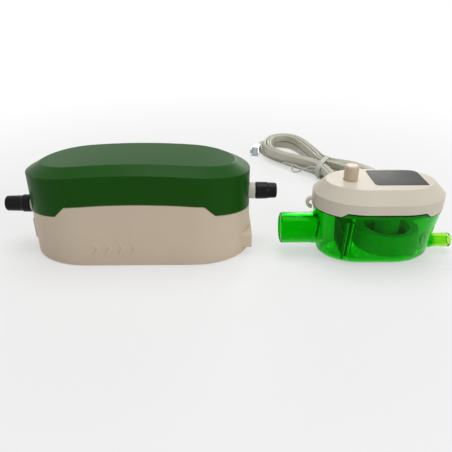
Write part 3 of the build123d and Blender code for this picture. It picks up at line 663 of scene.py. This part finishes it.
@dataclass
class PumpUnit:
    """The oval pump unit: finishes, flow arrows and the springs inside.

    An arrow's sides start arrow_relief inside the casing's wall and come out by arrow_side of
    it. The rest is a bevel of width arrow_soft.
    """

    body: str = "pump_unit"
    arrow_count: int = 4
    arrow_pitch: float = 6.55 * MM
    arrow_first: Point = (-23.9 * MM, -25.0 * MM, 7.2 * MM)
    arrow_width: float = 4.1 * MM
    arrow_height: float = 7.4 * MM
    arrow_stroke: float = 1.7 * MM
    arrow_relief: float = 0.30 * MM
    arrow_side: float = 0.4
    arrow_soft: float = 0.28 * MM
    finishes: dict[str, Finish] = field(
        default_factory=lambda: {
            "pump_base_casing": Finish.CASING,
            "pump_top_cover": Finish.COVER,
            "cover_screws": Finish.YOKE,
            "outlet_chamber": Finish.PORT,
            "inlet_fitting": Finish.PORT,
            "inlet_grommet": Finish.RUBBER,
            "outlet_grommet": Finish.RUBBER,
            "outlet_cap": Finish.CAP,
            "inlet_cap": Finish.CAP,
            "piston_tube": Finish.STEEL,
            "solenoid_bobbin": Finish.BLACK,
            "solenoid_coil": Finish.COPPER,
            "solenoid_yoke": Finish.YOKE,
            "valve_head": Finish.BLACK,
            "head_seal": Finish.RUBBER,
            "piston": Finish.STEEL,
            "suction_valve": Finish.RUBBER,
            "discharge_poppet": Finish.RUBBER,
            "damper_pads": Finish.RUBBER,
            "control_board": Finish.BOARD,
            "board_components": Finish.JACK,
            "power_socket": Finish.SOCKET,
            "socket_pins": Finish.CONTACT,
            "sensor_jack": Finish.JACK,
        }
    )
    springs: tuple[CoilSpring, ...] = (
        CoilSpring("piston_spring", "piston_stroke", 7.0, 0.45 * MM, 3.2 * MM, True),
        CoilSpring("poppet_spring", "poppet_lift", 3.0, 0.3 * MM, 1.2 * MM, False),
    )

    def build(self) -> None:
        """Dress every node, wind the springs and add the raised flow arrows."""
        for node, kind in self.finishes.items():
            dress(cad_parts[node], kind)
            log.info("dressed %s", node)
        winder = SpringTool("spring_winder", finish_of(Finish.SPRING))
        for spring in self.springs:
            spring.build(winder, self.body)
        self.arrows()

    def arrows(self) -> None:
        """Raise a row of flow arrows on the casing's front."""
        width, height, stroke = self.arrow_width, self.arrow_height, self.arrow_stroke
        soft, relief = self.arrow_soft, self.arrow_relief
        outline = [
            (0, 0), (stroke, 0), (width, height / 2), (stroke, height), (0, height),
            (width - stroke, height / 2),
        ]
        crown = [
            (soft, soft), (stroke, soft), (width - soft, height / 2), (stroke, height - soft),
            (soft, height - soft), (width - stroke + soft, height / 2),
        ]
        layers = ((outline, relief), (outline, -self.arrow_side * relief), (crown, -relief))
        bm = bmesh.new()
        rings = [[bm.verts.new((x, depth, z)) for x, z in points] for points, depth in layers]
        skin(bm, rings, caps=False)
        for ring, way in ((rings[0], 1), (rings[-1], -1)):
            for half in ((0, 1, 2, 5), (5, 2, 3, 4)):
                bm.faces.new([ring[k] for k in half][::way])
        seed = piece_from_bmesh("arrow_seed", bm, Finish.CASING, smooth=False)
        mesh = RowTool("arrow_row", finish_of(Finish.CASING)).run(seed, {
            "Count": self.arrow_count, "Start": self.arrow_first,
            "Step": (self.arrow_pitch, 0.0, 0.0),
        })
        row = mesh_object("flow_arrows", mesh, Finish.CASING, smooth=False)
        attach(row, self.body)
        log.info("built flow_arrows")


# ------------------------------------------------------------------ detection unit
@dataclass
class DetectionUnit:
    """The clear cup, its lid, float and sensor column.

    The plate's profile is (inset, height) up its edge, in shares of its height.
    """

    plate_centre: Point = (135.2 * MM, -7.9 * MM, 42.7 * MM)
    plate_size: Flat = (27.2 * MM, 20.6 * MM)
    plate_corners: tuple[float, ...] = (4.2 * MM, 1.4 * MM, 2.2 * MM, 0.5 * MM)
    plate_height: float = 0.22 * MM
    plate_profile: tuple[Flat, ...] = ((0.0, 0.0), (0.0, 0.7), (0.35, 1.0))
    finishes: dict[str, Finish] = field(
        default_factory=lambda: {
            "reservoir_cup": Finish.TANK,
            "inlet_strainer": Finish.STRAINER,
            "float_ring": Finish.FLOAT,
            "float_rim": Finish.FLOAT,
            "float_magnet": Finish.MAGNET,
            "reservoir_lid": Finish.LID,
            "lid_seal": Finish.RUBBER,
            "sensor_housing": Finish.SENSOR,
            "sensor_board": Finish.BOARD,
            "lead_gland": Finish.LID,
            "vent_cap": Finish.VENT,
        }
    )

    def build(self) -> None:
        """Dress every node and lay the bare plate on the lid."""
        for node, kind in self.finishes.items():
            dress(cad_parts[node], kind)
            log.info("dressed %s", node)
        self.plate()

    def plate(self) -> None:
        """Lay the bare dark plate in its place on the lid's top."""
        cx, cy, z = self.plate_centre
        width, depth = self.plate_size
        thick = self.plate_height
        bm = bmesh.new()
        rings = []
        for inset, height in self.plate_profile:
            narrow = 2 * inset * thick
            outline = rounded_outline(width - narrow, depth - narrow, self.plate_corners)
            rings.append([bm.verts.new((cx + x, cy + y, z + height * thick)) for x, y in outline])
        skin(bm, rings)
        plate = piece_from_bmesh("lid_plate", bm, Finish.PLATE, smooth=False)
        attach(plate, "lid")
        log.info("built lid_plate")


# ------------------------------------------------------------------ sensor lead
@dataclass
class SensorLead:
    """The flat lead from the lid's gland to its tied hank, and its plug.

    Route points are in millimetres. Hank points are (along, across) from the middle of its waist:
    along points to the loop, and across is positive on the far side. The hank lies in two levels
    of plies turns each, and each turn is a ply further in. It comes into the waist at waist_in
    and leaves it at waist_out. The last turn stops after last_turn points.
    """

    width: float = 5.6 * MM
    thickness: float = 2.2 * MM
    exit: Point = (139.5 * MM, 13.9 * MM, 34.2 * MM)
    stated_length: float = 1.5
    waist: Flat = (120.0, 106.0)
    along: Flat = (-0.539, 0.842)
    ply: float = 2.4
    plies: int = 3
    upper_level: float = 8.5
    lower_level: float = 2.85
    lean: Flat = (0.036, 0.016)
    sway: float = 0.35
    sway_step: float = 2.3
    tail_loop: tuple[Flat, ...] = (
        (-6, -7.0), (-15, -10.4), (-23, -14.2), (-31, -15.4), (-37.5, -11.4), (-40.3, -4.2),
        (-38.4, 3.4), (-32.5, 8.6), (-24.5, 10.2), (-15.5, 8.9), (-6, 7.2),
    )
    waist_half: float = 6.1
    waist_in: float = 3.0
    waist_out: float = 4.0
    free_route: tuple[Point, ...] = (
        (139.5, 13.9, 34.2),
        (139.5, 24.0, 33.8),
        (140.5, 33.0, 25.0),
        (143.5, 40.0, 12.0),
        (149.0, 49.0, 3.0),
        (157.0, 61.0, 1.4),
        (164.0, 77.0, 1.4),
        (165.5, 95.0, 1.6),
        (162.0, 107.0, 2.4),
        (154.5, 112.5, 3.6),
        (146.0, 113.5, 5.4),
        (137.0, 110.5, 7.4),
        (129.5, 110.8, 8.4),
        (124.2, 116.5, 8.5),
    )
    upper_loop: tuple[Flat, ...] = (
        (18, 13.2), (36, 19.8), (52, 24.4), (63, 23.6), (70, 17.8), (72.4, 8.5), (68.5, 0.0),
        (61, -8.0), (52, -13.6), (41, -16.0), (30, -14.8), (18, -11.0),
    )
    lower_loop: tuple[Flat, ...] = (
        (18, 12.4), (36, 19.4), (50, 23.6), (61, 23.8), (70, 18.8), (76.0, 10.4), (77.3, 1.8),
        (73.8, -5.0), (68.0, -9.6), (59.5, -12.8), (48, -13.6), (35, -12.4), (22, -10.0),
    )
    last_turn: int = 8
    last_end: Point = (69.0, -9.4, 3.8)
    flat_until: float = 112 * MM
    edge_from: float = 158 * MM
    closest: float = 0.05 * MM
    section_steps: int = 17
    lobe: float = 0.10

    def place(self, u: float, v: float, z: float) -> Point:
        """Turn hank coordinates in millimetres into the model's."""
        ux, uy = self.along
        return (self.waist[0] + u * ux + v * uy, self.waist[1] + u * uy - v * ux, z)

    def inset(self, loop: Sequence[Flat], amount: float) -> list[Flat]:
        """Move an open loop's points inwards, square to the line through their neighbours."""
        moved = []
        for k, (u, v) in enumerate(loop):
            before, after = loop[max(k - 1, 0)], loop[min(k + 1, len(loop) - 1)]
            du, dv = after[0] - before[0], after[1] - before[1]
            size = math.hypot(du, dv)
            moved.append((u + dv / size * amount, v - du / size * amount))
        return moved

    def turns(self) -> list[Point]:
        """Control points of the full turns, upper level first, and of the last part turn."""
        points: list[Point] = []
        order = [(True, ply) for ply in range(self.plies)]
        order += [(False, ply) for ply in reversed(range(self.plies))]
        levels = {True: self.upper_level, False: self.lower_level}
        for turn, (upper, ply) in enumerate(order):
            z = levels[upper]
            loop = self.upper_loop if upper else self.lower_loop
            inset = ply * self.ply
            half = self.waist_half - inset
            if turn:
                points.append(self.place(self.waist_in, half, z))
            if turn == len(order) - 1:
                points.extend(self.place(u, v, z) for u, v in loop[: self.last_turn])
                points.append(self.place(*self.last_end))
                break
            sway = self.sway * math.sin(self.sway_step * turn)
            lean = self.lean[0 if upper else 1]
            for u, v in self.inset(loop, inset):
                points.append(self.place(u, v + sway, z + lean * max(v, 0.0)))
            points.append(self.place(self.waist_out, -half, z))
            target = levels[order[turn + 1][0]]
            tail = self.inset(self.tail_loop, inset)
            for step, (u, v) in enumerate(tail, start=1):
                height = z + (target - z) * step / (len(tail) + 1)
                points.append(self.place(u + sway, v, height))
        return points

    def centreline(self) -> list[Vector]:
        """Smooth line through the whole route, read from its NURBS spline."""
        route = [*self.free_route, *self.turns()]
        data = bpy.data.curves.new("lead_route", "CURVE")
        data.dimensions = "3D"
        data.resolution_u = 6
        spline = data.splines.new("NURBS")
        spline.points.add(len(route) - 1)
        for point, (x, y, z) in zip(spline.points, route):
            point.co = (x * MM, y * MM, z * MM, 1.0)
        spline.order_u = 3
        spline.use_endpoint_u = True
        holder = bpy.data.objects.new("lead_route", data)
        bpy.context.scene.collection.objects.link(holder)
        bpy.context.view_layer.update()
        graph = bpy.context.evaluated_depsgraph_get()
        mesh = bpy.data.meshes.new_from_object(holder.evaluated_get(graph), depsgraph=graph)
        line = [v.co.copy() for v in mesh.vertices]
        bpy.data.objects.remove(holder)
        bpy.data.meshes.remove(mesh)
        return [
            p for k, p in enumerate(line) if k == 0 or (p - line[k - 1]).length > self.closest
        ]

    def section(self) -> list[Flat]:
        """Cross-section with four faint core lobes, as (across its width, across its thickness)."""
        points = []
        for side in (1, -1):
            for k in range(self.section_steps):
                share = math.sin(((k + 0.5) / self.section_steps * 2 - 1) * math.pi / 2)
                lobe = 1 - self.lobe + self.lobe * abs(math.sin(2 * math.pi * (share + 1)))
                edge = (1 - abs(share) ** 5) ** 0.5
                points.append(
                    (share * side * self.width / 2, side * self.thickness / 2 * lobe * edge)
                )
        return points

    def ribbon(self, line: list[Vector]) -> bpy.types.Object:
        """Sweep the section along the line: flat from the gland, then on edge in the hank.

        Args:
            line: points along the lead's centre.

        Returns:
            The finished lead.
        """
        lengths = [0.0]
        for before, after in zip(line, line[1:]):
            lengths.append(lengths[-1] + (after - before).length)
        section = self.section()
        bm = bmesh.new()
        rings = []
        up = Vector((0, 0, 1))
        for k, (point, run) in enumerate(zip(line, lengths)):
            tangent = (line[min(k + 1, len(line) - 1)] - line[max(k - 1, 0)]).normalized()
            flat = tangent.cross(up).normalized()
            edge = flat.cross(tangent).normalized()
            share = (run - self.flat_until) / (self.edge_from - self.flat_until)
            share = min(1.0, max(0.0, share))
            angle = share * share * (3 - 2 * share) * math.pi / 2
            across = (flat * math.cos(angle) + edge * math.sin(angle)).normalized()
            through = tangent.cross(across).normalized()
            rings.append([bm.verts.new(point + across * x + through * y) for x, y in section])
        skin(bm, rings)
        log.info("lead length %.3f m", lengths[-1])
        return piece_from_bmesh("flat_lead", bm, Finish.LEAD)

    def build(self) -> None:
        line = self.centreline()
        lead = self.ribbon(line)
        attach(lead, "lid")
        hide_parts("sensor_lead", "lead_hank")
        tie = TwistTie().build(self)
        plug = ModularPlug().build(line[-1], line[-1] - line[-4])
        log.info("built flat_lead")


def swept_wire(
    bm: bmesh.types.BMesh, line: Sequence[Vector], radius: float, sides: int = 8
) -> None:
    """Add a round wire along a line to a bmesh.

    Args:
        bm: the mesh that grows.
        line: the wire's centre.
        radius: its radius.
        sides: how many faces go round it.
    """
    rings = []
    guide = Vector((0.31, 0.23, 0.92))  # no wire here starts along it
    for k, point in enumerate(line):
        tangent = (line[min(k + 1, len(line) - 1)] - line[max(k - 1, 0)]).normalized()
        first = tangent.cross(guide).normalized()
        second = tangent.cross(first).normalized()
        guide = first.cross(tangent)
        rings.append([
            bm.verts.new(point + radius * (first * math.cos(a) + second * math.sin(a)))
            for a in (2 * math.pi * s / sides for s in range(sides))
        ])
    skin(bm, rings)


def rounded_path(points: Sequence[Vector], steps: int = 8) -> list[Vector]:
    """Smooth line through a wire's points, by Catmull-Rom.

    Args:
        points: the points that it goes through.
        steps: pieces between two of them.

    Returns:
        The line's points.
    """
    line = []
    for k in range(len(points) - 1):
        a, b = points[max(k - 1, 0)], points[k]
        c, d = points[k + 1], points[min(k + 2, len(points) - 1)]
        for s in range(steps):
            t = s / steps
            line.append(
                0.5 * ((2 * b) + (c - a) * t + (2 * a - 5 * b + 4 * c - d) * t * t
                       + (3 * b - a - 3 * c + d) * t ** 3)
            )
    line.append(points[-1])
    return line


@dataclass
class TwistTie:
    """Covered wire wound round the hank's waist, with two loosely twisted tails.

    All but the wire's radius is in the hank's millimetres, and its points are (along, across,
    height). A winding is an oval of the given squareness: 1 is round, and 0 square. No point of
    it is under lowest.
    """

    wire_radius: float = 0.72 * MM
    windings: int = 3
    pitch: float = 1.35
    skew: float = 0.55
    centre: Point = (-1.6, 1.2, 5.9)
    half_width: float = 11.9
    half_height: float = 5.75
    squareness: float = 0.62
    lowest: float = 0.75
    first_angle: float = math.radians(200)
    steps: int = 56
    tail_share: float = 0.8
    first_tail: tuple[Point, ...] = (
        (-6.5, -9.4, 9.0), (-0.6, -10.2, 8.4), (5.7, -11.2, 5.2), (10.5, -12.6, 4.6),
        (14.3, -13.4, 5.3), (19.1, -14.6, 5.2), (26.2, -15.8, 4.4),
    )
    second_tail: tuple[Point, ...] = (
        (-6.8, -9.6, 7.6), (0.2, -10.4, 5.0), (5.2, -12.6, 5.2), (9.6, -13.0, 2.0),
        (12.4, -14.6, 0.9), (15.0, -15.2, 1.4), (16.2, -14.9, 3.6), (16.8, -14.2, 6.2),
    )

    def build(self, lead: SensorLead) -> bpy.types.Object:
        """Wind the tie round the lead's hank.

        Args:
            lead: the lead, for its hank coordinates.

        Returns:
            The finished tie.
        """
        bm = bmesh.new()
        cu, cv, cz = self.centre
        coil = []
        for k in range(self.steps * self.windings + 1):
            turn = k / self.steps
            angle = self.first_angle + 2 * math.pi * turn
            across, up = (
                math.copysign(abs(share) ** self.squareness, share)
                for share in (math.cos(angle), math.sin(angle))
            )
            v = cv + self.half_width * across
            z = max(cz + self.half_height * up, self.lowest)
            u = cu + self.skew * (v - cv) + (turn - self.windings / 2) * self.pitch
            coil.append(Vector(lead.place(u, v, z)) * MM)
        swept_wire(bm, coil, self.wire_radius)
        for tail in (self.first_tail, self.second_tail):
            line = rounded_path([Vector(lead.place(*point)) * MM for point in tail])
            swept_wire(bm, line, self.wire_radius * self.tail_share)
        tie = piece_from_bmesh("wire_tie", bm, Finish.TIE)
        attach(tie, "lid")
        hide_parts("twist_tie")
        log.info("built wire_tie")
        return tie


@dataclass
class ModularPlug:
    """Clear four-way modular plug on its side, with its gold contacts and latch.

    Each block is (low corner, high corner, bevel) in millimetres, from the middle of the end
    that the lead enters: X along the plug, Y towards its contacts.
    """

    body: Block = ((0.0, -2.7, -3.8), (12.0, 2.7, 3.8), 0.35)
    latch: Block = ((2.2, -4.2, -1.6), (11.4, -3.2, 1.6), 0.2)
    latch_foot: Block = ((10.1, -3.6, -1.5), (11.3, -2.4, 1.5), 0.15)
    contact: Block = ((7.8, 2.2, -0.17), (11.8, 2.82, 0.17), 0.0)
    ways: int = 4
    way_pitch: float = 1.02
    clearance: float = 0.05

    def block(self, bm: bmesh.types.BMesh, shape: Block, shift: float = 0.0) -> None:
        """Add a box with its edges bevelled, shifted along Z."""
        low, high, bevel = shape
        made = bmesh.ops.create_cube(bm, size=1.0)["verts"]
        for vert in made:
            vert.co = Vector([a + (b - a) * (c + 0.5) for a, b, c in zip(low, high, vert.co)])
            vert.co.z += shift
        if bevel:
            edges = list({edge for vert in made for edge in vert.link_edges})
            bmesh.ops.bevel(bm, geom=edges, offset=bevel, segments=2, affect="EDGES")

    def build(self, tip: Vector, heading: Vector) -> bpy.types.Object:
        """Put the plug on the lead's end.

        Args:
            tip: where the lead ends.
            heading: which way it points there.

        Returns:
            The finished plug.
        """
        bm = bmesh.new()
        for shape in (self.body, self.latch, self.latch_foot):
            self.block(bm, shape)
        clear_faces = len(bm.faces)
        for way in range(self.ways):
            self.block(bm, self.contact, (way - (self.ways - 1) / 2) * self.way_pitch)
        for number, face in enumerate(bm.faces):
            face.material_index = int(number >= clear_faces)
        forward = Vector((heading.x, heading.y, 0)).normalized()
        half_wide = self.body[1][2]
        lay = Matrix((
            (forward.x, -forward.y, 0, tip.x),
            (forward.y, forward.x, 0, tip.y),
            (0, 0, 1, max(tip.z, (half_wide + self.clearance) * MM)),
            (0, 0, 0, 1),
        ))
        bm.transform(lay @ Matrix.Scale(MM, 4))
        plug = piece_from_bmesh("modular_plug", bm, Finish.PLUG, smooth=False)
        plug.data.materials.append(finish_of(Finish.CONTACT))
        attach(plug, "lid")
        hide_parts("sensor_plug")
        log.info("built modular_plug")
        return plug


# ------------------------------------------------------------------ studio
@dataclass(frozen=True)
class Lamp:
    """Soft square lamp that faces a point."""

    name: str
    place: Point
    target: Point
    size: float
    power: float

    def build(self) -> None:
        """Hang the lamp."""
        data = bpy.data.lights.new(self.name, "AREA")
        data.size = self.size
        data.energy = self.power
        obj = bpy.data.objects.new(self.name, data)
        obj.location = self.place
        aim = Vector(self.target) - Vector(self.place)
        obj.rotation_euler = aim.to_track_quat("-Z", "Y").to_euler()
        bpy.context.scene.collection.objects.link(obj)


@dataclass
class Studio:
    """Camera, lamps, floor and world; the focal length is in pixels of the picture's width."""

    eye: Point = (0.04348, -0.24441, 0.13788)
    tilt: float = math.radians(90 - 27.509)
    turn: float = math.radians(-0.65)
    focal: float = 487.217
    picture_width: float = 452.0
    sensor: float = 36.0
    near: float = 0.01
    lamps: tuple[Lamp, ...] = (
        Lamp("top_lamp", (0.08, 0.10, 0.85), (0.05, 0.0, 0.02), 0.60, 3.5),
        Lamp("front_lamp", (0.80, -0.60, 0.45), (0.06, 0.0, 0.02), 0.50, 2.2),
        Lamp("back_lamp", (0.34, 0.85, 0.36), (0.06, 0.0, 0.04), 0.26, 1.2),
    )
    world_light: float = 0.31
    floor_half: float = 6.0
    floor_colour: Colour = (0.92, 0.92, 0.92)
    floor_centre: Point = (0.06, 0.02, 0.0)
    floor_share: Flat = (0.50, 1.0)
    floor_fade: Flat = (0.12, 0.40)

    def build(self) -> None:
        """Set up everything round the object."""
        bpy.context.scene.view_settings.view_transform = "Standard"
        self.camera()
        self.floor()
        self.world()
        for lamp in self.lamps:
            lamp.build()

    def camera(self) -> None:
        """Put the camera in its place."""
        scene = bpy.context.scene
        data = bpy.data.cameras.new("camera")
        data.sensor_width = self.sensor
        data.lens = self.focal / self.picture_width * self.sensor
        data.clip_start = self.near
        camera = bpy.data.objects.new("camera", data)
        camera.location = self.eye
        camera.rotation_euler = (self.tilt, 0.0, self.turn)
        scene.collection.objects.link(camera)
        scene.camera = camera

    def seen(self, graph: Graph) -> Channel:
        """One for the rays that show the background: camera, gloss and transmission rays."""
        camera, glossy, through = (
            graph.node("ShaderNodeLightPath", output=f"Is {kind} Ray")
            for kind in ("Camera", "Glossy", "Transmission")
        )
        return camera.larger(glossy).larger(through)

    def floor(self) -> None:
        """Lay a white floor that keeps the object's shadow and fades to plain white further off."""
        g = Graph.material("floor_white")
        place = g.node("ShaderNodeTexCoord", output="Object")
        away = g.node(
            "ShaderNodeVectorMath", {"operation": "DISTANCE"}, {0: place, 1: self.floor_centre},
            "Value",
        )
        (near, far), (least, most) = self.floor_fade, self.floor_share
        share = g.node(
            "ShaderNodeMapRange", {"interpolation_type": "SMOOTHSTEP"},
            {"Value": away, "From Min": near, "From Max": far, "To Min": least, "To Max": most},
            "Result",
        )
        plain = g.principled(Base_Color=self.floor_colour, Roughness=0.9, Specular_IOR_Level=0.1)
        white = g.node("ShaderNodeEmission")
        g.surface(g.node("ShaderNodeMixShader", {}, {0: share * self.seen(g), 1: plain, 2: white}))
        bm = bmesh.new()
        bmesh.ops.create_grid(bm, x_segments=1, y_segments=1, size=self.floor_half)
        mesh = bpy.data.meshes.new("floor")
        bm.to_mesh(mesh)
        bm.free()
        mesh.materials.append(g.owner)
        obj = bpy.data.objects.new("floor", mesh)
        bpy.context.scene.collection.objects.link(obj)

    def world(self) -> None:
        """Light softly from all round, and show white as the background."""
        world = bpy.data.worlds.new("studio")
        bpy.context.scene.world = world
        g = Graph(world, "ShaderNodeOutputWorld")
        strength = g.node(
            "ShaderNodeMapRange", {},
            {"Value": self.seen(g), "To Min": self.world_light, "To Max": 1.0}, "Result",
        )
        white = {"Color": (1.0, 1.0, 1.0), "Strength": strength}
        g.surface(g.node("ShaderNodeBackground", {}, white))


def main() -> None:
    """Build every sub-assembly in order."""
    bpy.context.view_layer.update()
    for part in (Studio(), SensorLead(), PumpUnit(), DetectionUnit()):
        part.build()


if __name__ == "__main__":
    main()
